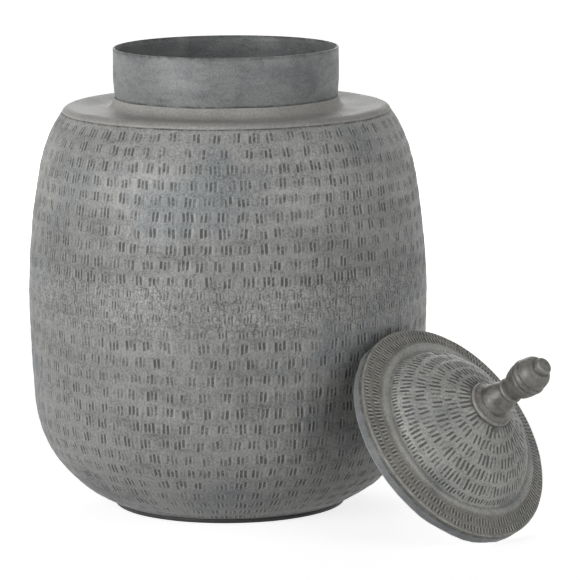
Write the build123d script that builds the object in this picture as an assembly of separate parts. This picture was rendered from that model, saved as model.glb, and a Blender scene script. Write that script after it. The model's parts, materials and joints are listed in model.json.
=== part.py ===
from build123d import *
import math
import os

os.makedirs("parts", exist_ok=True)

# A lidded storage jar of hammered sheet metal, with its lid taken off and leaning on the belly.
# The origin is the centre of the jar's underside, +Z is up and the lid leans at the front right.
# Lengths are in millimetres, angles in degrees. A share is a fraction of the named size it follows.

# Jar body: heights are measured from the ground, radii are outer ones
sheet = 1.5               # thickness of the belly's and shoulder's sheet
foot_radius = 87.3        # where the belly meets the foot
foot_height = 3.2
belly_radius = 150.1      # at the widest level
belly_level = 150.0
crease_radius = 123.6     # where the belly meets the shoulder
crease_height = 298.2
seam_rise = 8.0           # butt seam between the belly's two halves, above the widest level
# (share of the height, share of the radius) from the foot to the widest level
lower_curve_shares = ((0.060, 0.275), (0.183, 0.611), (0.387, 0.882), (0.659, 0.968))
# (share of the height, share of the radius) from the widest level to the crease
upper_curve_shares = ((0.337, 0.936), (0.607, 0.762), (0.823, 0.506))

# Shoulder: a dished ring with a rolled outer edge and an upturned collar round the neck
crease_step = 0.4         # how far the shoulder's edge stands back from the belly's
crown_share = 0.797       # where the rolled edge's top lies between the collar's bend and the crease
crown_rise = 4.5          # the rolled edge's top above the crease
valley_share = 0.18       # where the dish's lowest ring lies on the same stretch
valley_drop = 1.9         # the dish's lowest ring below the crown
collar_height = 8.2       # the collar's edge above the valley
collar_bend = 6.0         # outer bend where the dish turns up into the collar

# Neck: a plain tube, straight at the mouth and drawn in a little at its root
neck_sheet = 1.4
neck_radius = 84.6        # outer radius at the mouth
neck_draw = 1.0           # how much narrower the tube is inside the collar
neck_height = 37.0        # the mouth's rim above the collar's edge
neck_straight = 24.0      # length of the straight bore below the rim
neck_tuck = 7.0           # how far the tube reaches down inside the collar
rim_round = 0.5           # rounding of the mouth's rim

# Foot: a ring with a rebate, and the disc that closes the jar's bottom in it
foot_ring_width = 10.0
foot_ledge = 3.0          # width of the ledge that the bottom disc seats against
foot_inset = 0.4          # how far the ring stands in from the belly's edge
foot_round = 0.6
base_sheet = 1.6

# Lid: radii from the lid's axis, heights from the plane of its outer edge
lid_sheet = 1.2
band_sheet = 0.8
lid_clearance = 0.4       # radial gap between the band and the neck
edge_drop = 1.8           # the cover's turned-down edge
band_depth = 7.2          # the band below the cover's edge
edge_corner = 0.9         # the flange's level where it meets the turned-down edge
edge_bend = 0.4           # inner bend of the turned-down edge
flange_width = 13.7
flange_rise = 5.0         # the flange's inner edge above the outer edge
bead_half_width = 3.4     # of the raised ring between flange and dome
bead_height = 2.4         # the crest above the flange's inner edge
bead_side_share = 0.62    # where the bead's sides are set, out of its half width
bead_rise_share = 0.66    # and how much of its rise they have there
dome_foot_rise = 1.1      # the dome's foot above the flange's inner edge
dome_height = 41.4        # the dome's flat top above the outer edge
# (share of the radius left, share of the rise) from the dome's foot to its flat top
dome_curve_shares = ((0.948, 0.083), (0.805, 0.332), (0.570, 0.602), (0.324, 0.797), (0.115, 0.950))

# Finial: a turned acorn knob, its members stacked upwards from the dome's flat top
foot_disc_radius = 18.0
foot_disc_bulge = 0.6     # how far the disc's rim swells out between its edges
foot_disc_height = 3.0
foot_overhang = 1.5       # how far the disc reaches past the dome's flat top
foot_slope_radius = 16.4
foot_slope_height = 3.4
stem_foot_radius = 12.8
stem_top_radius = 9.4
stem_height = 13.6
stem_swell_shares = ((0.25, 0.90), (0.62, 0.52))
groove_radius = 8.8
groove_width = 0.8
bead_ring_radius = 9.9
bead_ring_height = 3.8
cup_radius = 13.4
cup_height = 15.0
cup_curve_shares = ((0.10, 0.0), (0.34, 0.40), (0.72, 0.84))
cup_groove_radius = 12.9
cup_groove_width = 0.8
cup_ring_radius = 14.0
cup_ring_height = 5.2
cap_height = 10.3
cap_curve_shares = ((0.16, 1.0), (0.45, 0.93), (0.80, 0.67))
nub_radius = 6.5
nub_height = 5.4
nub_side_share = 0.6      # how much of the nub's height is straight

# Fastening inside the lid: a stud in the finial, a washer and a hexagon nut
stud_radius = 3.0
stud_depth = 12.0         # how far the stud is screwed into the finial
stud_overhang = 1.6       # how far it ends below the nut
stud_chamfer = 0.5
stud_hole_gap = 0.3       # radial gap in the cover and the washer
washer_radius = 10.0
washer_sheet = 1.5
nut_flats = 10.0          # across the flats
nut_height = 5.0
nut_chamfer = 0.6

# Leaning lid
lean = 54.42              # the lid's axis from the vertical
lean_bearing = 38.1       # where the lid stands, clockwise from +X seen from above
lean_turn = 2.9           # the lid's axis beyond that bearing
lean_clearance = 0.3      # gap between the lid's upper edge and the belly
dish_spans = 6            # spans of the curves on the shoulder's underside
dome_spans = 24           # spans of the curve on the cover's underside
outline_steps = 240       # steps in which the belly's outline is read
rim_steps = 360           # steps in which the lid's edge is read


def between(start, end, share):
    return start + share * (end - start)


def turned(outline):
    """Solid of revolution about +Z of a closed outline given as (radius, height)."""
    return revolve(Plane.XZ * make_face(outline), Axis.Z)


def flowing(points, start, end):
    """Spline through the points with the given directions at its ends."""
    return Spline(*points, tangents=[start, end], tangent_scalars=[1, 1])


def beneath(outer, thickness, spans):
    """Spline that runs a sheet's thickness to the left of a spline."""
    inner = []
    for step in range(spans + 1):
        tangent = outer.tangent_at(step / spans)
        inner.append(outer.position_at(step / spans) + Vector(-tangent.Y, tangent.X) * thickness)
    return flowing(inner, outer % 0, outer % 1)


# Belly

def belly_points():
    points = [(foot_radius, foot_height)]
    for height_share, radius_share in lower_curve_shares:
        radius = between(foot_radius, belly_radius, radius_share)
        points.append((radius, between(foot_height, belly_level, height_share)))
    points.append((belly_radius, belly_level))
    for height_share, radius_share in upper_curve_shares:
        radius = between(crease_radius, belly_radius, radius_share)
        points.append((radius, between(belly_level, crease_height, height_share)))
    points.append((crease_radius, crease_height))
    return points


belly_outline = Spline(*belly_points())


def belly_shell():
    """The whole belly, cut level at the foot and at the crease."""
    inner_points = []
    for point in belly_points():
        rise = belly_outline.tangent_at(belly_outline.param_at_point(point)).Y
        inner_points.append((point[0] - sheet / rise, point[1]))
    inner = Spline(*inner_points)
    bottom = Line(inner @ 0, belly_outline @ 0)
    top = Line(belly_outline @ 1, inner @ 1)
    return turned(belly_outline + top + inner + bottom)


def belly_half(keep):
    return split(belly_shell(), bisect_by=Plane.XY.offset(belly_level + seam_rise), keep=keep)


# Shoulder and neck

crown_height = crease_height + crown_rise
valley_height = crown_height - valley_drop
collar_top = valley_height + collar_height
neck_root_radius = neck_radius - neck_draw


def shoulder_plate():
    collar_outer = neck_root_radius + sheet
    bend_end = collar_outer + collar_bend
    bend_level = valley_height + collar_bend
    underside = valley_height - sheet
    valley_radius = between(bend_end, crease_radius, valley_share)
    crown = (between(bend_end, crease_radius, crown_share), crown_height)
    roll = flowing([(crease_radius - crease_step, crease_height), crown], (0, 1), (-1, 0))
    roll_below = beneath(roll, sheet, dish_spans)
    dish = flowing([crown, (valley_radius, valley_height)], (-1, 0), (-1, 0))
    dish_below = beneath(dish, sheet, dish_spans)
    outline = Line(roll_below @ 0, roll @ 0) + roll + dish
    outline += Line(dish @ 1, (bend_end, valley_height))
    outline += RadiusArc((bend_end, valley_height), (collar_outer, bend_level), collar_bend)
    outline += Line((collar_outer, bend_level), (collar_outer, collar_top))
    outline += Line((collar_outer, collar_top), (neck_root_radius, collar_top))
    outline += Line((neck_root_radius, collar_top), (neck_root_radius, bend_level))
    outline += RadiusArc((neck_root_radius, bend_level), (bend_end, underside), -collar_bend - sheet)
    outline += Line((bend_end, underside), dish_below @ 1)
    return turned(outline + dish_below + roll_below)


def neck_collar():
    inside = neck_radius - neck_sheet
    root_inside = neck_root_radius - neck_sheet
    root = collar_top - neck_tuck
    rim = collar_top + neck_height
    straight_end = rim - neck_straight
    tube = turned(Polyline(
        (neck_root_radius, root),
        (neck_root_radius, collar_top),
        (neck_radius, straight_end),
        (neck_radius, rim),
        (inside, rim),
        (inside, straight_end),
        (root_inside, collar_top),
        (root_inside, root),
        close=True,
    ))
    return fillet(tube.edges().group_by(Axis.Z)[-1], rim_round)


# Foot

foot_outer = foot_radius - foot_inset
foot_inner = foot_outer - foot_ring_width


def foot_ring():
    rebate = foot_inner + foot_ledge
    ring = turned(Polyline(
        (rebate, 0),
        (foot_outer, 0),
        (foot_outer, foot_height),
        (foot_inner, foot_height),
        (foot_inner, base_sheet),
        (rebate, base_sheet),
        close=True,
    ))
    ground_edge = ring.edges().filter_by(GeomType.CIRCLE).group_by(Axis.Z)[0].sort_by(SortBy.RADIUS)[-1]
    return fillet(ground_edge, foot_round)


def base_plate():
    disc_radius = foot_inner + foot_ledge
    return turned(Polyline((0, 0), (disc_radius, 0), (disc_radius, base_sheet), (0, base_sheet), close=True))


# Lid, modelled upright with its outer edge's plane at height zero

band_inner = neck_radius + lid_clearance
lid_radius = band_inner + band_sheet
stud_hole = stud_radius + stud_hole_gap
ceiling = dome_height - lid_sheet


def lid_cover():
    bead_outer = lid_radius - flange_width
    bead_radius = bead_outer - bead_half_width
    dome_radius = bead_radius - bead_half_width
    dome_top_radius = foot_disc_radius - foot_overhang
    outer_bend = edge_bend + lid_sheet
    dome_foot = flange_rise + dome_foot_rise
    crest = flange_rise + bead_height
    bead_side = bead_half_width * bead_side_share
    profile = [
        (bead_outer, flange_rise),
        (bead_radius + bead_side, between(flange_rise, crest, bead_rise_share)),
        (bead_radius, crest),
        (bead_radius - bead_side, between(dome_foot, crest, bead_rise_share)),
        (dome_radius, dome_foot),
    ]
    for radius_share, rise_share in dome_curve_shares:
        radius = between(dome_top_radius, dome_radius, radius_share)
        profile.append((radius, between(dome_foot, dome_height, rise_share)))
    profile.append((dome_top_radius, dome_height))
    slope = math.atan2(flange_rise - edge_corner, lid_radius - bead_outer)
    flange = (-math.cos(slope), math.sin(slope))
    top = flowing(profile, flange, (-1, 0))
    below = beneath(top, lid_sheet, dome_spans)
    inner_corner = edge_corner - lid_sheet * math.tan(math.radians(45) - slope / 2)
    edge = FilletPolyline((lid_radius, -edge_drop), (lid_radius, edge_corner), top @ 0, radius=outer_bend)
    edge_inside = FilletPolyline(
        below @ 0,
        (lid_radius - lid_sheet, inner_corner),
        (lid_radius - lid_sheet, -edge_drop),
        radius=edge_bend,
    )
    outline = edge + top + Line(top @ 1, (stud_hole, dome_height))
    outline += Line((stud_hole, dome_height), (stud_hole, ceiling))
    outline += Line((stud_hole, ceiling), below @ 1) + below + edge_inside
    return turned(outline + Line(edge_inside @ 1, edge @ 0))


def lid_rim_band():
    top = -edge_drop
    bottom = top - band_depth
    return turned(Polyline(
        (band_inner, bottom),
        (lid_radius, bottom),
        (lid_radius, top),
        (band_inner, top),
        close=True,
    ))


def finial():
    foot_disc_edge = foot_disc_radius - foot_disc_bulge
    stem_level = foot_disc_height + foot_slope_height
    groove_level = stem_level + stem_height + groove_width
    cup_level = groove_level + bead_ring_height
    cup_groove_level = cup_level + cup_height + cup_groove_width
    cap_level = cup_groove_level + cup_ring_height
    nub_level = cap_level + cap_height
    tip = nub_level + nub_height
    stem = [(stem_foot_radius, stem_level)]
    for height_share, radius_share in stem_swell_shares:
        radius = between(stem_top_radius, stem_foot_radius, radius_share)
        stem.append((radius, stem_level + stem_height * height_share))
    stem.append((stem_top_radius, stem_level + stem_height))
    cup = [(groove_radius, cup_level)]
    for height_share, radius_share in cup_curve_shares:
        radius = between(groove_radius, cup_radius, radius_share)
        cup.append((radius, cup_level + cup_height * height_share))
    cup.append((cup_radius, cup_level + cup_height))
    cap = [(cup_groove_radius, cap_level)]
    for height_share, radius_share in cap_curve_shares:
        radius = between(nub_radius, cup_groove_radius, radius_share)
        cap.append((radius, cap_level + cap_height * height_share))
    cap.append((nub_radius, nub_level))
    nub_shoulder = nub_level + nub_height * nub_side_share
    outline = Line((stud_radius, 0), (foot_disc_edge, 0))
    outline += ThreePointArc(
        (foot_disc_edge, 0),
        (foot_disc_radius, foot_disc_height / 2),
        (foot_slope_radius, foot_disc_height),
    )
    outline += Line((foot_slope_radius, foot_disc_height), stem[0])
    outline += Spline(*stem)
    outline += Line(stem[-1], (groove_radius, groove_level))
    outline += ThreePointArc(
        (groove_radius, groove_level),
        (bead_ring_radius, groove_level + bead_ring_height / 2),
        cup[0],
    )
    outline += Spline(*cup)
    outline += Line(cup[-1], (cup_groove_radius, cup_groove_level))
    outline += ThreePointArc(
        (cup_groove_radius, cup_groove_level),
        (cup_ring_radius, cup_groove_level + cup_ring_height / 2),
        cap[0],
    )
    outline += Spline(*cap)
    outline += Line(cap[-1], (nub_radius, nub_shoulder))
    outline += flowing([(nub_radius, nub_shoulder), (0, tip)], (0, 1), (-1, 0))
    outline += Line((0, tip), (0, stud_depth))
    outline += Line((0, stud_depth), (stud_radius, stud_depth))
    outline += Line((stud_radius, stud_depth), (stud_radius, 0))
    return Pos(Z=dome_height) * turned(outline)


washer_bottom = ceiling - washer_sheet
nut_bottom = washer_bottom - nut_height


def finial_stud():
    bottom = nut_bottom - stud_overhang
    stud = Pos(Z=bottom) * extrude(Circle(stud_radius), dome_height + stud_depth - bottom)
    return chamfer(stud.edges().group_by(Axis.Z)[0], stud_chamfer)


def lid_washer():
    ring = Circle(washer_radius) - Circle(stud_hole)
    return Pos(Z=washer_bottom) * extrude(ring, washer_sheet)


def lid_nut():
    corner_radius = nut_flats / 2 / math.cos(math.pi / 6)
    body = extrude(RegularPolygon(corner_radius, 6) - Circle(stud_radius), nut_height)
    crown = turned(Polyline(
        (0, 0),
        (corner_radius - nut_chamfer, 0),
        (corner_radius, nut_chamfer),
        (corner_radius, nut_height),
        (0, nut_height),
        close=True,
    ))
    return Pos(Z=nut_bottom) * (body & crown)


# Place of the leaning lid: its band's lower edge stands on the ground and all but touches the belly

def belly_reach(height, stations):
    """Outer radius of the belly at a height, from stations along its outline."""
    for low, high in zip(stations, stations[1:]):
        if low.Y <= height <= high.Y:
            return between(low.X, high.X, (height - low.Y) / (high.Y - low.Y))
    return 0


def leaning_place():
    """Frame of the leaning lid: origin on its axis in its outer edge's plane, z along its axis."""
    stations = [belly_outline @ (step / outline_steps) for step in range(outline_steps + 1)]
    tilt = math.radians(lean)
    azimuth = -math.radians(lean_bearing + lean_turn)
    bearing = Vector(math.cos(math.radians(lean_bearing)), -math.sin(math.radians(lean_bearing)), 0)
    axis = Vector(math.sin(tilt) * math.cos(azimuth), math.sin(tilt) * math.sin(azimuth), math.cos(tilt))
    level = Vector(-math.sin(azimuth), math.cos(azimuth), 0)
    upslope = axis.cross(level)
    centre_height = lid_radius * math.sin(tilt)
    stand_off = 0
    for step in range(rim_steps):
        angle = math.tau * step / rim_steps
        rim_point = level * (lid_radius * math.cos(angle)) + upslope * (lid_radius * math.sin(angle))
        reach = belly_reach(rim_point.Z + centre_height, stations) + lean_clearance
        along = rim_point.dot(bearing)
        across = rim_point.X * bearing.Y - rim_point.Y * bearing.X
        if abs(across) < reach:
            stand_off = max(stand_off, math.sqrt(reach ** 2 - across ** 2) - along)
    edge_centre = bearing * stand_off + Vector(0, 0, centre_height)
    return Plane(edge_centre + axis * (edge_drop + band_depth), x_dir=level, z_dir=axis)


lid_frame = leaning_place()

jar_pieces = {
    "belly_lower_shell": belly_half(Keep.BOTTOM),
    "belly_upper_shell": belly_half(Keep.TOP),
    "shoulder_plate": shoulder_plate(),
    "neck_collar": neck_collar(),
    "foot_ring": foot_ring(),
    "base_plate": base_plate(),
}
lid_pieces = {
    "lid_cover": lid_cover(),
    "lid_rim_band": lid_rim_band(),
    "finial": finial(),
    "finial_stud": finial_stud(),
    "lid_washer": lid_washer(),
    "lid_nut": lid_nut(),
}

for name, piece in jar_pieces.items():
    export_step(piece, f"parts/{name}.step")
for name, piece in lid_pieces.items():
    export_step(lid_frame.location * piece, f"parts/{name}.step")

print("lid frame origin", lid_frame.origin, "axis", lid_frame.z_dir)
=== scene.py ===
"""A weathered, hammered metal jar with its lid leaning on it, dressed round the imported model.

Lengths are in metres, in the model's own frame: +Z is the jar's axis and the jar stands on z = 0.
"""

import json
import math
from dataclasses import dataclass

import bpy
import numpy as np
from bpy.props import FloatProperty, FloatVectorProperty, IntProperty, PointerProperty
from mathutils import Matrix, Vector


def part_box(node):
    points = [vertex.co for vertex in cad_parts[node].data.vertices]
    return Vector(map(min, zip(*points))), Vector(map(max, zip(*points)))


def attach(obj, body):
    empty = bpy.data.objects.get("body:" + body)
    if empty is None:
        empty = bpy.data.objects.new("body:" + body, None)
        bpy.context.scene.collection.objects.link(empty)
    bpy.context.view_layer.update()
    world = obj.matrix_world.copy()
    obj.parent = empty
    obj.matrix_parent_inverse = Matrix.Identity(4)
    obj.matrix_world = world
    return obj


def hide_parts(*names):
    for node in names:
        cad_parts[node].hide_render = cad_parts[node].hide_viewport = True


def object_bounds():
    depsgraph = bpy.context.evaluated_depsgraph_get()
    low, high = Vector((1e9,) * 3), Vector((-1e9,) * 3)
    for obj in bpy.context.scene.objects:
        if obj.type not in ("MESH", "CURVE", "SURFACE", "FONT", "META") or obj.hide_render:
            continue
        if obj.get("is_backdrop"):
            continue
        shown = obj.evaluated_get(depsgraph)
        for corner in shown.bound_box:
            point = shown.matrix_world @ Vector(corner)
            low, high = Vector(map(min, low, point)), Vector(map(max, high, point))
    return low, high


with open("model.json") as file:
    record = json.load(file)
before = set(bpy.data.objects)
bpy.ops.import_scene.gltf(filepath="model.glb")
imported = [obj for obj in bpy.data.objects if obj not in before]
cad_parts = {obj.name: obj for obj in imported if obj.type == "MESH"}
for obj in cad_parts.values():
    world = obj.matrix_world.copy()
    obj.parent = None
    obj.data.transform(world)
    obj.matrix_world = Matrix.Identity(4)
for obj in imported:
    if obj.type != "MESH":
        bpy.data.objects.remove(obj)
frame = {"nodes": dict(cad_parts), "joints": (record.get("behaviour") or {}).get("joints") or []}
model_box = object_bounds()

bl_info = {
    "name": "Hammered Lidded Jar",
    "version": (1, 0, 0),
    "blender": (4, 5, 0),
    "location": "3D View > Sidebar > Jar",
    "description": "Chisel-marked sheets, patina, stage and camera of a lidded metal jar",
    "category": "Object",
}


# Settings

def setting(kind, **options):
    """Describes one kind of property. What it describes waits for its name."""
    def describe(description, default):
        return lambda name: kind(name=name, description=description, default=default, **options)
    return describe


def angle(description, degrees):
    return setting(FloatProperty, subtype="ANGLE")(description, math.radians(degrees))


length = setting(FloatProperty, unit="LENGTH", precision=5)
power = setting(FloatProperty, unit="POWER", min=0)
share = setting(FloatProperty, subtype="FACTOR", min=0, max=1)
number = setting(FloatProperty)
count = setting(IntProperty)
colour = setting(FloatVectorProperty, subtype="COLOR", min=0, max=1)
place = setting(FloatVectorProperty, subtype="TRANSLATION", unit="LENGTH")


def named(group):
    """Makes the properties that a group describes, each named after its key."""
    for key, make in group.__annotations__.items():
        group.__annotations__[key] = make(key.replace("_", " ").capitalize())
    return group


@named
class BellyMarks(bpy.types.PropertyGroup):
    """Rows of upright chisel marks on the belly."""

    row_pitch: length("Between rows, along the outline", 0.0119)
    group_marks: count("Marks in a group", 3)
    group_pitch: length("Between groups, round the belly", 0.0139)
    mark_length: length("Length of one mark", 0.0089)
    mark_width: length("Width of a mark and its lips", 0.003)
    mark_gap: length("Between the marks of a group", 0.0031)
    depth: length("How deep a full blow goes", 0.0006)
    lip: length("How far the sheet rises beside a mark", 0.0002)
    slant: angle("How far a group leans off the upright", 4)
    edge_margin: length("Bare sheet outside the outer rows", 0.0012)
    band_level: length("Height of the middle of the finely marked band", 0.171)
    band_half: length("Half the height of the finely marked band", 0.020)
    band_row_pitch: length("Between rows in that band", 0.0086)
    band_pitch: length("Between groups in that band", 0.0139)
    band_mark: length("Length of a mark in that band", 0.0064)
    band_gap: length("Between the marks of a group in that band", 0.0025)
    band_width: length("Width of a mark in that band", 0.0021)
    band_strength: share("How hard that band was struck", 0.72)
    dent: length("How far the sheet strays from its outline", 0.0005)
    dent_size: length("Width of such a dent", 0.022)
    settle: length("How far the sheet lies inside its outline", 0.00035)
    sparse: share("How often a group's first or last mark is faint", 0.75)
    band_sparse: share("The same in that band", 0.6)
    uneven: share("How much shorter the shortest marks are", 0.32)
    seed: count("Picks the places and strengths of the blows", 11)


@named
class LidMarks(bpy.types.PropertyGroup):
    """Rings of chisel marks on the lid that point at its knob."""

    flange_pitch: length("Between marks on the flange", 0.0031)
    flange_mark: length("Length of a mark in the flange's inner ring", 0.0062)
    flange_margin: length("Bare sheet on each side of that ring", 0.0006)
    edge_mark: length("Length of a mark in the ring along the lid's edge", 0.0048)
    edge_margin: length("Bare sheet on each side of that ring", 0.0004)
    dome_pitch: length("Between marks on the dome", 0.0036)
    dome_mark: length("Length of a mark on the dome", 0.0102)
    dome_width: length("Width of a mark on the dome and its lips", 0.0029)
    foot_pitch: length("Between marks round the dome's foot", 0.0027)
    foot_mark: length("Length of a mark round the dome's foot", 0.0056)
    foot_margin: length("Bare sheet on each side of that ring", 0.0008)
    mark_width: length("Width of a mark and its lips", 0.0026)
    depth: length("How deep a full blow goes", 0.0005)
    lip: length("How far the sheet rises beside a mark", 0.00018)
    slant: angle("How far a mark leans off the radius", 4.8)
    dome_strength: number("How hard the dome was struck", 1.6)
    flange_strength: number("How hard the flange was struck", 1.4)
    uneven: share("How much shorter the shortest marks are", 0.45)
    foot_strength: number("How hard the dome's foot was struck", 1.7)
    dome_rows: count("Rings of long marks on the dome", 5)
    dent: length("How far the sheet strays from its outline", 0.0005)
    dent_size: length("Width of such a dent", 0.02)
    settle: length("How far the sheet lies inside its outline", 0.0001)
    sparse: share("How often a mark is faint", 0.1)
    seed: count("Picks the places and strengths of the blows", 29)


@named
class PlainSheets(bpy.types.PropertyGroup):
    """Turned pieces that weren't struck."""

    dent: length("How far a plain sheet strays from its outline", 0.0003)
    dent_size: length("Width of such a dent", 0.03)
    band_dent: length("How far the lid's band strays from its outline", 0.0011)
    band_dent_size: length("Width of such a dent", 0.028)
    cast_dent: length("How far the cast knob strays from its outline", 0.00013)
    cast_dent_size: length("Width of such a dent", 0.006)
    belly_heart: length("Height from which the belly's dents push out", 0.15)
    shoulder_heart: length("The same for the shoulder's", -1)
    lid_heart: length("Level on the lid's axis from which its dents push out", -0.06)
    band_heart: length("Level on it from which the band's dents push out", -0.0035)
    knob_heart: length("Level on it from which the knob's dents push out", 0.075)
    edge_bevel: length("Width of the worn bevel on every sharp edge", 0.0003)
    # Dirt and painted shade: how far the darkening spreads from where two pieces meet
    soil_reach: length("How far the dirt spreads from where two pieces meet", 0.0016)
    seed: count("Picks the dents", 5)


@named
class Finishes(bpy.types.PropertyGroup):
    """Colours of the jar's metals, with the dirt and painted shade of hollows and joints and the rubbed metal
    and painted highlight of edges.
    """

    zinc: colour("The hammered sheet where it is clean", (0.365, 0.365, 0.355))
    zinc_dark: colour("The hammered sheet's darker patches", (0.235, 0.237, 0.233))
    zinc_blue: colour("The hammered sheet's bluish patches", (0.225, 0.245, 0.258))
    groove: colour("The bottom of a chisel mark", (0.05, 0.05, 0.05))
    lip: colour("The raised edge of a chisel mark", (0.5, 0.5, 0.49))
    lid_lip: colour("The same on the lid", (0.76, 0.76, 0.73))
    # Dirt and painted shade: the colour of the darkening in hollows, creases and at joints
    dirt: colour("What gathers in hollows and at joints", (0.06, 0.058, 0.055))
    # Rubbed metal and painted highlight: the colour of bent edges
    rubbed: colour("Edges that are rubbed bare", (0.62, 0.62, 0.61))
    lid: colour("The lid's dome where it is clean", (0.54, 0.54, 0.515))
    lid_dark: colour("The lid's darker patches", (0.29, 0.29, 0.275))
    flange_tint: colour("What the lid's colour is multiplied by on its brownish flange", (0.55, 0.533, 0.5))
    band: colour("The band below the lid's edge", (0.3, 0.31, 0.315))
    band_dark: colour("Darker patches of the band", (0.17, 0.18, 0.19))
    shoulder: colour("The smooth shoulder", (0.545, 0.534, 0.512))
    shoulder_dark: colour("Darker patches of the shoulder", (0.43, 0.425, 0.41))
    neck: colour("The bare neck", (0.3, 0.308, 0.308))
    neck_dark: colour("Darker mottling of the neck", (0.175, 0.186, 0.194))
    knob: colour("The cast knob", (0.255, 0.245, 0.227))
    knob_dark: colour("Brownish stains on the knob", (0.1, 0.09, 0.078))
    foot: colour("The blackened foot", (0.022, 0.022, 0.023))
    foot_dark: colour("The foot's darker patches", (0.01, 0.01, 0.01))
    steel: colour("Plated fasteners", (0.45, 0.45, 0.45))
    steel_dark: colour("Duller patches of the fasteners", (0.28, 0.28, 0.27))


@named
class Stage(bpy.types.PropertyGroup):
    """Floor, lights and camera."""

    floor_size: length("Width of the floor", 60.0)
    floor_colour: colour("The pale floor", (0.74, 0.74, 0.74))
    floor_dullness: share("The floor's roughness", 0.9)
    near_lift: share("White that the floor round the jar shows beside what lights it", 0.8)
    far_lift: share("The same far off, where the lights don't reach", 1.0)
    near: length("Where the floor's lift starts to grow", 0.25)
    far: length("Where it is full", 1.6)
    sky: share("Strength of the even light from all round", 0.01)
    lamp_size: length("Width of each soft light", 1.2)
    key_power: power("Power of the main light, low at the front left", 24.5)
    key_place: place("Where it stands", (-1.7, -1.5, 0.5))
    fill_power: power("Power of the high light at the front right", 4.6)
    fill_place: place("Where it stands", (1.5, -1.6, 1.4))
    low_power: power("Power of the low light at the front right", 7.1)
    low_place: place("Where it stands", (1.7, -1.5, 0.5))
    back_power: power("Power of the light behind the jar", 13)
    back_place: place("Where it stands", (0, 2.1, 1.0))
    left_power: power("Power of the light behind the jar at the left", 2)
    left_place: place("Where it stands", (-2.0, 1.2, 0.6))
    camera_distance: length("From the jar's axis to the camera, level", 3.1029)
    camera_height: length("The camera above the floor", 0.6637)
    camera_side: length("The camera off the jar's middle plane", 0.0004)
    camera_pitch: angle("How far the camera looks down", 9.2055)
    camera_yaw: angle("How far the camera is turned to the right", 0.8564)
    camera_roll: angle("How far the camera is tipped", -0.4231)
    lens: number("Focal length, in millimetres", 258.17)


class JarSettings(bpy.types.PropertyGroup):
    """All that a user would change."""

    belly: PointerProperty(type=BellyMarks)
    lid: PointerProperty(type=LidMarks)
    plain: PointerProperty(type=PlainSheets)
    finishes: PointerProperty(type=Finishes)
    stage: PointerProperty(type=Stage)


# Node trees

class Value:
    """What a node puts out. Python's operators go on calculating with it, by way of further nodes."""

    def __init__(self, board, socket):
        self.board = board
        self.socket = socket

    def __neg__(self):
        return self * -1

    def __floordiv__(self, other):
        return self.board.calc("FLOOR", self / other)

    def __lt__(self, other):
        return self.board.calc("LESS_THAN", self, other)


def calculation(operation, swapped):
    """The method of a value that stands for a Math node."""
    def method(value, other):
        return value.board.calc(operation, *((other, value) if swapped else (value, other)))
    return method


for method_name, operation_name in {"add": "ADD", "sub": "SUBTRACT", "mul": "MULTIPLY", "truediv": "DIVIDE",
                                    "mod": "MODULO"}.items():
    setattr(Value, f"__{method_name}__", calculation(operation_name, swapped=False))
    setattr(Value, f"__r{method_name}__", calculation(operation_name, swapped=True))


class Board:
    """A node tree in the making. Values or plain numbers go into a node's open inputs in order."""

    def __init__(self, tree):
        self.tree = tree

    def fill(self, socket, value):
        if isinstance(value, Value):
            self.tree.links.new(value.socket, socket)
        elif value is not None:
            opaque = socket.type == "RGBA" and len(value) == 3
            socket.default_value = (*value, 1) if opaque else value

    def fill_named(self, node, **values):
        """Fills a node's inputs by name, with _ for a space, and returns its outputs by name."""
        for name, value in values.items():
            self.fill(node.inputs[name.replace("_", " ")], value)
        return {socket.name: Value(self, socket) for socket in node.outputs}

    def add(self, kind, *values, **settings):
        node = self.tree.nodes.new(kind)
        for name, value in settings.items():
            setattr(node, name, value)
        open_inputs = [socket for socket in node.inputs if socket.enabled]
        for socket, value in zip(open_inputs, values):
            self.fill(socket, value)
        return node

    def get(self, kind, *values, output=None, **settings):
        """The named output of a new node, or else its first open one."""
        outputs = self.add(kind, *values, **settings).outputs
        socket = outputs[output] if output else next(socket for socket in outputs if socket.enabled)
        return Value(self, socket)

    def calc(self, operation, *values):
        return self.get("ShaderNodeMath", *values, operation=operation)

    def vector(self, operation, *values):
        return self.get("ShaderNodeVectorMath", *values, operation=operation)

    def blend(self, factor, first, second):
        return self.get("ShaderNodeMix", factor, first, second, data_type="FLOAT", clamp_factor=True)

    def tint(self, factor, first, second, blend_type="MIX"):
        return self.get("ShaderNodeMix", factor, first, second, data_type="RGBA", blend_type=blend_type)

    def noise(self, spot, scale, detail, roughness=0.6):
        return self.get("ShaderNodeTexNoise", spot, scale, detail, roughness)

    def clamp(self, value, low=0, high=1):
        return self.get("ShaderNodeClamp", value, low, high)

    def ramp(self, value, start, gain, low=0, high=1):
        """How far a value is past the start, times the gain, kept between two limits."""
        return self.clamp((value - start) * gain, low, high)

    def span(self, value, start, end, at_start=0, at_end=1):
        """Goes evenly from one number to another while a value goes from start to end."""
        return self.get("ShaderNodeMapRange", value, start, end, at_start, at_end)

    def object_spot(self):
        return self.get("ShaderNodeTexCoord", output="Object")

    def attribute(self, name):
        return self.get("ShaderNodeAttribute", attribute_name=name, output="Fac")


def node_group(kind, group_name, inputs, outputs, **defaults):
    """A new node group, whose sockets are named by type: its board and its inputs by their names."""
    tree = bpy.data.node_groups.new(group_name, kind)
    for in_out, sockets in (("INPUT", inputs), ("OUTPUT", outputs)):
        for socket_type, names in sockets.items():
            for name in names:
                socket = tree.interface.new_socket(name, in_out=in_out,
                                                   socket_type="NodeSocket" + socket_type)
                if name in defaults:
                    socket.default_value = defaults[name]
    board = Board(tree)
    return board, board.fill_named(board.add("NodeGroupInput"))


def with_nodes(data):
    """A material or world made to read nodes, and its board."""
    data.use_nodes = True
    return data, Board(data.node_tree)


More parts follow.
